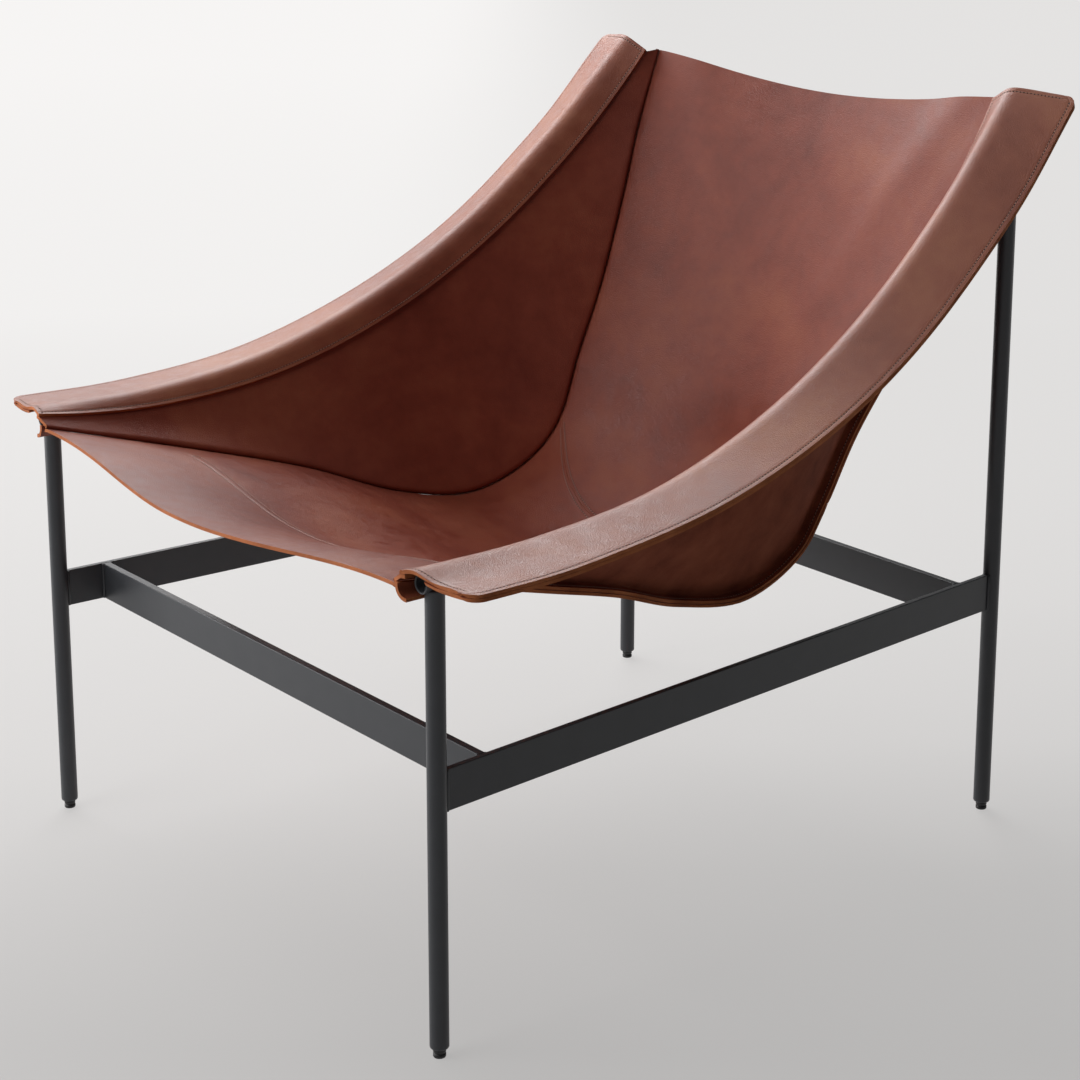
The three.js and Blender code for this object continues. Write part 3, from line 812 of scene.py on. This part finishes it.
# Side panels
# Leather gussets between the arm sleeve and the sling, tucked behind the sleeve's inner edge at the top.
# At the foot each turns outward and is sewn flat onto the sling's flange.
tube_clearance = 0.0007
front_drop, rear_drop = 0.014, 0.028
leg_hole = leg_radius + 0.0012
leg_hole_below_axis = 0.0038
fold_reach, panel_bulge = 0.006, 0.003
sleeve_radius = leg_radius + tube_clearance + hide / 2
panel_face = sleeve_radius - ply - hide / 2
tuck_start = math.sqrt((leg_radius + tube_clearance) ** 2 - panel_face**2)


class ArmSection:
    """The right arm sleeve in section at a share of its length: b outward from the tube, n upward."""

    def __init__(self, s):
        self.frame = ArmFrame(s)
        to_seam = seam_frame(s)[0] - self.frame.origin
        self.lean = math.atan2(-to_seam.dot(self.frame.up), -to_seam.dot(self.frame.out))
        self.drop = mix(front_drop, rear_drop, s)

    def beside_drop(self, d, inward):
        """A point this far down the inner drop, set inward from the sleeve."""
        r = sleeve_radius - inward
        c, s = math.cos(self.lean), math.sin(self.lean)
        return -r * s - d * c, r * c - d * s


@lru_cache(maxsize=None)
def arm_section(s):
    return ArmSection(s)


def panel_foot(q):
    origin, _, face = seam_frame(q)
    return origin + face * (ply_gap + hide / 2) + Vector((hide / 2, 0, 0))


@lru_cache(maxsize=None)
def panel_corners(q):
    section = arm_section(q)
    origin, _, face = seam_frame(q)
    width = flange_width(q)
    rim = origin + face * (ply_gap + hide / 2 - flange_droop * width / flange) + Vector((width, 0, 0))
    tuck, edge = (section.frame.point(*section.beside_drop(d, ply)) for d in (tuck_start, section.drop))
    return tuck, edge, panel_foot(q), rim


def panel_point(q, t):
    """Middle layer of the right side panel: t is 0 to 1 down the tuck, 1 to 2 down to the seam, 2 to 3 out."""
    tuck, edge, foot, rim = panel_corners(q)
    if t <= 1:
        return tuck.lerp(edge, t)
    fold = min(fold_reach, (foot - edge).length * 0.3, (rim - foot).length * 0.8)
    above = foot + (edge - foot).normalized() * fold
    beyond = foot + (rim - foot).normalized() * fold
    if t <= 1.9:
        p = edge.lerp(above, (t - 1) / 0.9)
        fade = math.sin(math.pi * (t - 1) / 0.9) * ease(min(q, 1 - q), 0.02, 0.2)
        return p + Vector((1, 0, 0)) * (slack(p, fade) + panel_bulge * fade)
    if t <= 2.1:
        k = (t - 1.9) / 0.2
        return above.lerp(foot, k).lerp(foot.lerp(beyond, k), k)
    return beyond.lerp(rim, (t - 2.1) / 0.9)


def leg_cutter():
    """Cutter for the holes that the right legs pass through."""
    cutter = bmesh.new()
    for end, height in (("front", arm_front_height), ("rear", arm_rear_height)):
        spot = foot_places[end, "right"]
        bmesh.ops.create_cone(
            cutter, cap_ends=True, segments=40, radius1=leg_hole, radius2=leg_hole, depth=height,
            matrix=Matrix.Translation((spot.x, spot.y, height / 2 - leg_hole_below_axis)),
        )
    return cutter


def cut_away(piece, cutters, side):
    """Cuts a finished leather piece, with raw edge on the cut faces, and keeps the result as its mesh."""
    helpers = []
    for shape in cutters:
        if side == "left":
            mirror_shape(shape)
        mesh = bpy.data.meshes.new("cutter")
        shape.to_mesh(mesh)
        shape.free()
        mesh.materials.append(raw_edge)
        helper = bpy.data.objects.new("cutter", mesh)
        scene.collection.objects.link(helper)
        helpers.append(helper)
        cut = piece.modifiers.new("cut", "BOOLEAN")
        cut.operation = "DIFFERENCE"
        cut.solver = "EXACT"
        cut.material_mode = "TRANSFER"
        cut.object = helper
    evaluated = piece.evaluated_get(bpy.context.evaluated_depsgraph_get())
    cut_mesh = bpy.data.meshes.new_from_object(evaluated)
    piece.modifiers.clear()
    piece.data = cut_mesh
    for helper in helpers:
        bpy.data.objects.remove(helper)


panel_stops = [0, 0.5, 1, *(1 + 0.9 * k / 22 for k in range(1, 23))]
panel_stops += [1.94, 1.97, 2, 2.03, 2.06, 2.1, 2.4, 2.7, 2.9, 3]
panel_rows = [0, 0.002, 0.006, *(k / 110 for k in range(2, 109)), 0.994, 0.998, 1]
for side in ("left", "right"):
    shape = laid_out(panel_stops, panel_rows, panel_point)
    bmesh.ops.reverse_faces(shape, faces=shape.faces)
    if side == "left":
        mirror_shape(shape)
    panel_area = sheet_area(shape)
    panel = add_piece(f"side_panel_{side}", shape, leather, "chair", [f"side_panel_{side}"])
    finish_sheet(panel, hide)
    cut_away(panel, [leg_cutter()], side)

# Arm bands
# The top ply of each arm sleeve: a strip of the same hide laid over the tube, wide and flat on the outside.
# Its inner edge drops over the side panel's top, and both long edges and both ends are stitched.
# Painted light: the arms take the sling's hide in lighter tones, which stand in for the light that falls on the
# tops of the arms.
arm_dye_and_painted_light = ((0.185, 0.049, 0.028), (0.29, 0.088, 0.049), (0.38, 0.138, 0.069))
arm_leather = [leather_finish("saddle_leather_arms_painted_light", arm_dye_and_painted_light, 0.38, 0.5), flesh_side, raw_edge]
edge_margin, drop_margin = 0.0048, 0.0045  # rows of stitches from the outer and inner edges
corner_radius = 0.013
ridge_radius = 0.0138
ridge_softness = 0.007
front_reach, middle_reach, rear_reach = 0.074, 0.063, 0.067
front_rise, rear_rise = 0.009, -0.005
front_hollow = 0.003


def band_edge(s):
    """Outer edge of the band in section, with the corners of the band rounded."""
    corner = max(0, corner_radius - min(s, 1 - s) * arm_length)
    cut = corner_radius - math.sqrt(max(0, corner_radius**2 - corner**2))
    reach = mix(middle_reach, front_reach, 1 - ease(s, 0, 0.33))
    reach = mix(reach, rear_reach, ease(s, 0.7, 1))
    rise = mix(mix(front_rise, rear_rise, ease(s, 0.15, 0.75)), 0, ease(s, 0.85, 1))
    return reach - cut, rise - hide / 2


class BandProfile:
    """Lengths of the band's section: the flange in from its outer edge, the ridge over the tube, the drop."""

    def __init__(self, s):
        self.edge = band_edge(s)
        self.touch = math.atan2(self.edge[1], self.edge[0]) + math.acos(ridge_radius / math.hypot(*self.edge))
        self.start = (ridge_radius * math.cos(self.touch), ridge_radius * math.sin(self.touch))
        self.flat = math.hypot(self.edge[0] - self.start[0], self.edge[1] - self.start[1])
        self.arc = ridge_radius * (math.pi / 2 + arm_section(s).lean - self.touch)
        self.width = self.flat + self.arc + arm_section(s).drop
        self.hollow = front_hollow * (1 - ease(s, 0.02, 0.16))


@lru_cache(maxsize=None)
def band_profile(s):
    return BandProfile(s)


def band_bends(s, w):
    """The section w in from the outer edge, as straight runs and an arc."""
    profile = band_profile(s)
    if w <= profile.flat:
        share = w / profile.flat
        dip = profile.hollow * math.sin(math.pi * (1 - share) ** 0.8) ** 2
        return mix(profile.edge[0], profile.start[0], share), mix(profile.edge[1], profile.start[1], share) - dip
    if w <= profile.flat + profile.arc:
        turn = profile.touch + (w - profile.flat) / ridge_radius
        return ridge_radius * math.cos(turn), ridge_radius * math.sin(turn)
    section = arm_section(s)
    d = w - profile.flat - profile.arc
    inward = (sleeve_radius - ridge_radius) * (1 - ease(d, 0, section.drop - drop_margin))
    return section.beside_drop(d, inward)


@lru_cache(maxsize=None)
def band_section(s, w):
    """The section with its bends eased, as stiff leather takes them."""
    reach = min(ridge_softness, w, band_profile(s).width - w)
    steps = [band_bends(s, w + reach * k / 3) for k in range(-3, 4)]
    return sum(b for b, _ in steps) / len(steps), sum(n for _, n in steps) / len(steps)


def band_point(s, w):
    """Middle layer of the right band, w in from its outer edge."""
    w = min(max(w, 0), band_profile(s).width)
    b, n = band_section(s, w)
    sewn = groove(w - edge_margin) + groove(band_profile(s).width - w - drop_margin)
    sewn += groove(min(s, 1 - s) * arm_length - edge_margin)
    return arm_section(s).frame.point(b, n - sewn)


edge_strip, drop_strip = 0.0096, 0.009
by_edge = (0, 0.0013, 0.0026, 0.0036, 0.0042, 0.0048, 0.0054, 0.006, 0.007, 0.0096)
by_drop = (0.0075, 0.006, 0.0053, 0.0045, 0.0037, 0.003, 0.0015, 0)
band_stops = [d / edge_strip for d in by_edge] + [1 + k / 24 for k in range(1, 25)]
band_stops += [3 - d / drop_strip for d in by_drop]
by_end = (0, 0.0003, 0.001, 0.002, 0.0032, 0.0042, 0.0048, 0.0054, 0.0066, 0.0085, 0.0105, 0.0128)
arm_rows = [d / arm_length for d in by_end]
arm_rows += [*(k / 120 for k in range(2, 119)), *(1 - share for share in reversed(arm_rows))]


def band_place(s, t):
    """t is 0 to 1 over the outer margin, 1 to 2 over the tube and 2 to 3 over the inner margin."""
    width = band_profile(s).width
    if t <= 1:
        return band_point(s, edge_strip * t)
    if t <= 2:
        return band_point(s, mix(edge_strip, width - drop_strip, t - 1))
    return band_point(s, mix(width - drop_strip, width, t - 2))


for side in ("left", "right"):
    shape = laid_out(band_stops, arm_rows, band_place)
    bmesh.ops.reverse_faces(shape, faces=shape.faces)
    if side == "left":
        mirror_shape(shape)
    band_area = sheet_area(shape)
    band = add_piece(f"arm_band_{side}", shape, arm_leather, "chair", [f"arm_band_{side}"])
    finish_sheet(band, hide, even=False)

# Sleeve linings
# The under ply of each arm sleeve: flat under the band's outer margin, then round under the tube in a slack loop.
# A slot at the front lets it slide on past the leg, and its end is caught in the seam with the side panel.
slack_in, slack_down = 0.008, 0.003
slack_turn = math.atan2(-slack_in, slack_down)
lining_merge = 0.013
slot_reach, slot_length, slot_height = 0.0125, 0.11, 0.47


def on_sleeve(angle):
    return sleeve_radius * math.cos(angle), sleeve_radius * math.sin(angle)


def under_band(s, w):
    """The section one ply below the band."""
    (b0, n0), (b1, n1) = (band_section(s, max(0, w + d)) for d in (-0.0005, 0.0005))
    b, n = band_section(s, w)
    run = math.hypot(b1 - b0, n1 - n0)
    return b - ply * (n1 - n0) / run, n + ply * (b1 - b0) / run


def loop_end(a, b):
    """Angle at which the slack loop meets a straight run of the side panel."""
    run = math.hypot(b[0] - a[0], b[1] - a[1])
    across = ((b[1] - a[1]) / run, (a[0] - b[0]) / run)
    apart = across[0] * (a[0] + slack_in) + across[1] * (a[1] + slack_down)
    turn = math.acos(min(1, (apart - ply + hide / 2) / (sleeve_radius + hide / 2)))
    return math.atan2(across[1], across[0]) + turn - 2 * math.pi


@lru_cache(maxsize=None)
def lining_turns(s):
    section = arm_section(s)
    fork = under_band(s, band_profile(s).flat - lining_merge)
    leave = math.atan2(fork[1], fork[0]) - math.acos(sleeve_radius / math.hypot(*fork))
    foot = panel_foot(s) - section.frame.origin
    bend = section.beside_drop(section.drop, ply)
    end = max(
        loop_end(section.beside_drop(0, ply), bend),
        loop_end(bend, (foot.dot(section.frame.out), foot.dot(section.frame.up))),
    )
    return fork, leave, end


def lining_point(s, t):
    """Middle layer of the right lining: t is 0 to 1 over the flat margin, then round the tube and the loop."""
    place = arm_section(s).frame.point
    fork, leave, end = lining_turns(s)
    if t <= 1:
        return place(*under_band(s, (band_profile(s).flat - lining_merge) * max(0, t)))
    if t <= 2:
        b, n = on_sleeve(leave)
        return place(mix(fork[0], b, t - 1), mix(fork[1], n, t - 1))
    if t <= 3:
        return place(*on_sleeve(mix(leave, slack_turn, t - 2)))
    b, n = on_sleeve(mix(slack_turn, end, t - 3))
    return place(b - slack_in, n - slack_down)


def slot_cutter():
    """Cutter that opens the right lining from the front leg to the sleeve's mouth."""
    cutter = bmesh.new()
    spot = foot_places["front", "right"]
    middle = (spot.x + (slot_reach - leg_hole) / 2, spot.y - slot_length / 2, slot_height / 2)
    bmesh.ops.create_cube(
        cutter, size=1,
        matrix=Matrix.Translation(middle) @ Matrix.Diagonal((slot_reach + leg_hole, slot_length, slot_height, 1)),
    )
    return cutter


lining_stops = [0, 0.03, 0.08, 0.16, 0.3, 0.5, 0.7, 0.9, 1, 1.25, 1.6, 2, 2.5, 3]
lining_stops += [3 + k / 16 for k in range(1, 17)]
for side in ("left", "right"):
    shape = laid_out(lining_stops, arm_rows, lining_point)
    if side == "left":
        mirror_shape(shape)
    lining_area = sheet_area(shape)
    lining = add_piece(f"band_lining_{side}", shape, leather, "chair", [f"band_lining_{side}"])
    finish_sheet(lining, hide, even=False)
    cut_away(lining, [leg_cutter(), slot_cutter()], side)

# Strips under the sling
# Two narrow straps of thinner leather, sewn flat to the underside of the sling.
# One runs across the seat near its front edge, the other covers the seat-to-back seam from behind.
strip_thickness = 0.0025
strip_depth = hide / 2 + ply_gap + strip_thickness / 2


def sling_facing(q, v):
    across = sling_point(q, v + 0.01) - sling_point(q, v - 0.01)
    along = sling_point(q + nearby, v) - sling_point(q - nearby, v)
    return across.cross(along).normalized()


def strip(name, middle, half_width, reach):
    def place(u, v):
        across = reach * (2 * u - 1)
        q = middle(across) + (2 * v - 1) * half_width / seam_length
        return sling_point(q, across) - sling_facing(q, across) * strip_depth

    shape = shaped_grid(60, 8, place)
    area = sheet_area(shape)
    piece = add_piece(name, shape, leather, "chair", [name])
    finish_sheet(piece, strip_thickness)


strip("seat_strap", lambda v: strap_share, half_width=0.011, reach=0.83)
strip("seam_strip", split_at, half_width=0.012, reach=0.83)

# Stitching
# Waxed thread, a shade off the leather, about four millimetres to a stitch, with a needle hole after each drawn
# as a dark patch of painted shade.
# Rows run round each band, along the side seams, each side of the seat-to-back seam and along the seat strap.
thread = two_tone(
    "waxed_thread", (0.3, 0.14, 0.1), (0.52, 0.32, 0.25), scale=900, rough=0.55, relief=0.3, depth=0.0003,
)
# Painted shade: each needle hole is a near-black patch that stands in for the shade inside the hole.
needle_hole_painted_shade, _, hole_shade_shader = new_material("needle_hole_painted_shade")
hole_shade_shader.inputs["Base Color"].default_value = (0.012, 0.006, 0.005, 1)
hole_shade_shader.inputs["Roughness"].default_value = 0.8
stitch_pitch, stitch_lean = 0.0038, 0.12
thread_radius, thread_half = 0.00055, stitch_pitch * 0.35
hole_width, hole_depth, hole_half = 0.00095, 0.00045, stitch_pitch * 0.22


def sew(places, path):
    """Adds the places of the stitches along a path of (point, facing) pairs on the leather's surface."""
    run = [0.0]
    for (a, _), (b, _) in zip(path, path[1:]):
        run.append(run[-1] + (b - a).length)
    count = max(2, round(run[-1] / stitch_pitch))
    for k in range(count):
        want = (k + 0.5) / count * run[-1]
        j = min(max(bisect.bisect_right(run, want) - 1, 0), len(path) - 2)
        share = (want - run[j]) / max(run[j + 1] - run[j], 1e-9)
        middle = path[j][0].lerp(path[j + 1][0], share)
        facing = path[j][1].lerp(path[j + 1][1], share).normalized()
        way = (path[j + 1][0] - path[j][0]).normalized()
        way = (way + facing.cross(way) * stitch_lean).normalized()
        lie = Matrix((facing.cross(way).normalized(), facing, way)).transposed().to_4x4()
        places.append(Matrix.Translation(middle) @ lie)


stitch = bmesh.new()
bmesh.ops.create_uvsphere(
    stitch, u_segments=6, v_segments=5, radius=1,
    matrix=Matrix.Diagonal((thread_radius, thread_radius, thread_half, 1)),
)
bmesh.ops.create_uvsphere(
    stitch, u_segments=6, v_segments=4, radius=1,
    matrix=Matrix.Translation((0, 0, stitch_pitch / 2)) @ Matrix.Diagonal((hole_width, hole_depth, hole_half, 1)),
)
stitch.verts.index_update()


def add_stitching(name, places):
    """One piece of thread work, with a copy of the stitch at each place."""
    corners = [v.co.copy() for v in stitch.verts]
    sides = [[v.index for v in f.verts] for f in stitch.faces]
    # Faces past the thread's end belong to the hole and take the painted shade.
    kinds = [int(f.calc_center_median().z > thread_half) for f in stitch.faces]
    mesh = bpy.data.meshes.new(name)
    mesh.from_pydata(
        [place @ corner for place in places for corner in corners],
        [],
        [[k * len(corners) + i for i in face] for k in range(len(places)) for face in sides],
    )
    mesh.polygons.foreach_set("material_index", kinds * len(places))
    shape = bmesh.new()
    shape.from_mesh(mesh)
    bpy.data.meshes.remove(mesh)
    add_piece(name, shape, [thread, needle_hole_painted_shade], "chair")


def on_top(point, a, b, da, db, turn=1):
    """The leather's face over the place a, b on its middle layer, and the way it faces, read over da and db."""
    across = point(a + da, b) - point(a - da, b)
    along = point(a, b + db) - point(a, b - db)
    facing = across.cross(along).normalized() * turn
    return point(a, b) + facing * (hide / 2), facing


def flipped(path):
    return [(Vector((-p.x, p.y, p.z)), Vector((-n.x, n.y, n.z))) for p, n in path]


def band_spot(s, w):
    return on_top(band_point, s, w, 0.001, 0.0004)


def spread(low, high, count):
    return [mix(low, high, k / count) for k in range(count + 1)]


end_share = edge_margin / arm_length
end_row_start = 0.011
outer_run = spread(2 * end_share, 1 - 2 * end_share, 240)
band_rows = [
    [band_spot(s, edge_margin) for s in outer_run],
    [band_spot(s, band_profile(s).width - drop_margin) for s in spread(end_share, 1 - end_share, 240)],
]
for s in (end_share, 1 - end_share):
    end_run = spread(end_row_start, band_profile(s).width - drop_margin, 40)
    band_rows.append([band_spot(s, w) for w in end_run])
under_row = []
for s in outer_run:
    t = edge_margin / (band_profile(s).flat - lining_merge)
    under_row.append(on_top(lining_point, s, t, 0.001, 0.004, -1))
flange_middle = 2.55
flange_row = [on_top(panel_point, q, flange_middle, 0.001, 0.01, -1) for q in spread(0.03, 0.97, 240)]
for side in ("left", "right"):
    for name, rows in (("band", band_rows), ("lining", [under_row]), ("seam_flange", [flange_row])):
        places = []
        for row in rows:
            sew(places, row if side == "right" else flipped(row))
        add_stitching(f"{name}_stitching_{side}", places)


def sling_spot(q, v):
    return on_top(lambda a, b: sling_point(b, a), v, q, 0.01, nearby)


places = []
for shift in (-seam_row, seam_row):
    sew(places, [sling_spot(split_at(v) + shift / seam_length, v) for v in spread(-0.97, 0.97, 120)])
for shift in (-strap_row, strap_row):
    row = spread(-strap_reach, strap_reach, 120)
    sew(places, [sling_spot(strap_share + shift / seam_length, v) for v in row])
for v in (-strap_reach, strap_reach):
    row = spread(-strap_row, strap_row, 6)
    sew(places, [sling_spot(strap_share + d / seam_length, v) for d in row])
add_stitching("sling_stitching", places)
stitch.free()
